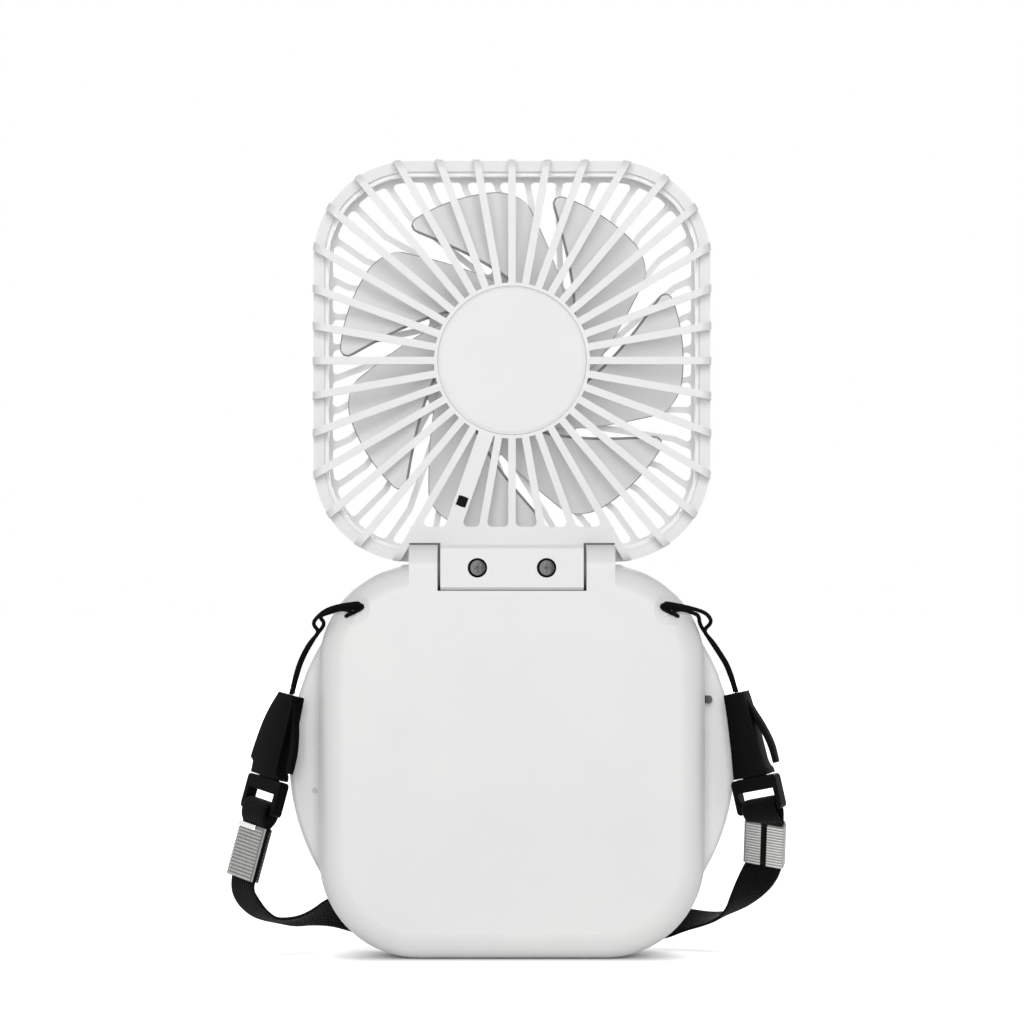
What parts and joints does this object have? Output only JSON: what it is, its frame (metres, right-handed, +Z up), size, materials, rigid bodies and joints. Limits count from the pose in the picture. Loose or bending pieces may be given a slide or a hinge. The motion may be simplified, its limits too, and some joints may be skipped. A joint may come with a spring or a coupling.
{
  "type": "neck fan",
  "caption": "Folding neck and desk fan: rounded-square fan head on a friction hinge above a rounded base pod, with a buckled lanyard on the shoulders.",
  "frame": {"origin": "middle of the flat foot that the fan stands on", "axes": "+Z up, -Y towards the side that the picture shows, +X to the right of that view"},
  "size_m": [0.1354, 0.085, 0.1933],
  "materials": {
    "white_plastic": "satin moulded",
    "blade_plastic": "satin moulded",
    "black_plastic": "matt moulded",
    "black_webbing": "woven",
    "black_cord": "braided",
    "crimp_steel": "ribbed",
    "steel": "zinc plated",
    "lamination_steel": "stamped",
    "copper_wire": "enamelled",
    "bronze": "sintered",
    "magnet": "matt",
    "lead_sleeve": "satin",
    "battery_foil": "foil pouch",
    "board_laminate": "solder mask",
    "clear_light": "smoked lens"
  },
  "bodies": {
    "base": {"front_cover": "white_plastic", "rear_cover": "white_plastic", "battery_pack": "battery_foil", "circuit_board": "board_laminate", "usb_port": "steel", "indicator_light": "clear_light", "tactile_switch": "black_plastic", "housing_screws": "steel", "hinge_pins": "steel", "hinge_washers": "steel", "left_cord": "black_cord", "right_cord": "black_cord", "left_buckle_socket": "black_plastic", "right_buckle_socket": "black_plastic", "left_strap": "black_webbing", "right_strap": "black_webbing", "strap_roll": "black_webbing"},
    "head": {"rear_guard": "white_plastic", "motor_cap": "white_plastic", "front_guard": "white_plastic", "front_cap": "white_plastic", "stator_core": "lamination_steel", "stator_coils": "copper_wire", "bearing_sleeve": "bronze", "motor_lead": "lead_sleeve", "hinge_clamp": "white_plastic", "hinge_screws": "steel"},
    "impeller": {"impeller": "blade_plastic", "motor_shaft": "steel", "magnet_ring": "magnet"},
    "button": {"power_button": "white_plastic"},
    "left_plug": {"left_buckle_plug": "black_plastic", "left_strap_loop": "black_webbing", "left_strap_crimp": "crimp_steel"},
    "right_plug": {"right_buckle_plug": "black_plastic", "right_strap_loop": "black_webbing", "right_strap_crimp": "crimp_steel"}
  },
  "joints": [
    {"name": "head_tilt", "type": "hinge", "parent": "base", "child": "head", "pos_m": [0, -0.0085, 0.0941], "axis": [1, 0, 0], "range_deg": [0, 180]},
    {"name": "impeller_spin", "type": "hinge", "parent": "head", "child": "impeller", "pos_m": [0, 0, 0.1443], "axis": [0, 1, 0], "continuous": true},
    {"name": "button_press", "type": "slide", "parent": "base", "child": "button", "axis": [0, -1, 0], "range_m": [0, 0.0006], "stiffness_N_per_m": 2000},
    {"name": "left_release", "type": "slide", "parent": "base", "child": "left_plug", "axis": [-0.2588, 0, -0.9659], "range_m": [0, 0.012], "deforming": ["left_strap"]},
    {"name": "right_release", "type": "slide", "parent": "base", "child": "right_plug", "axis": [0.2164, 0, -0.9763], "range_m": [0, 0.012], "deforming": ["right_strap"]}
  ]
}
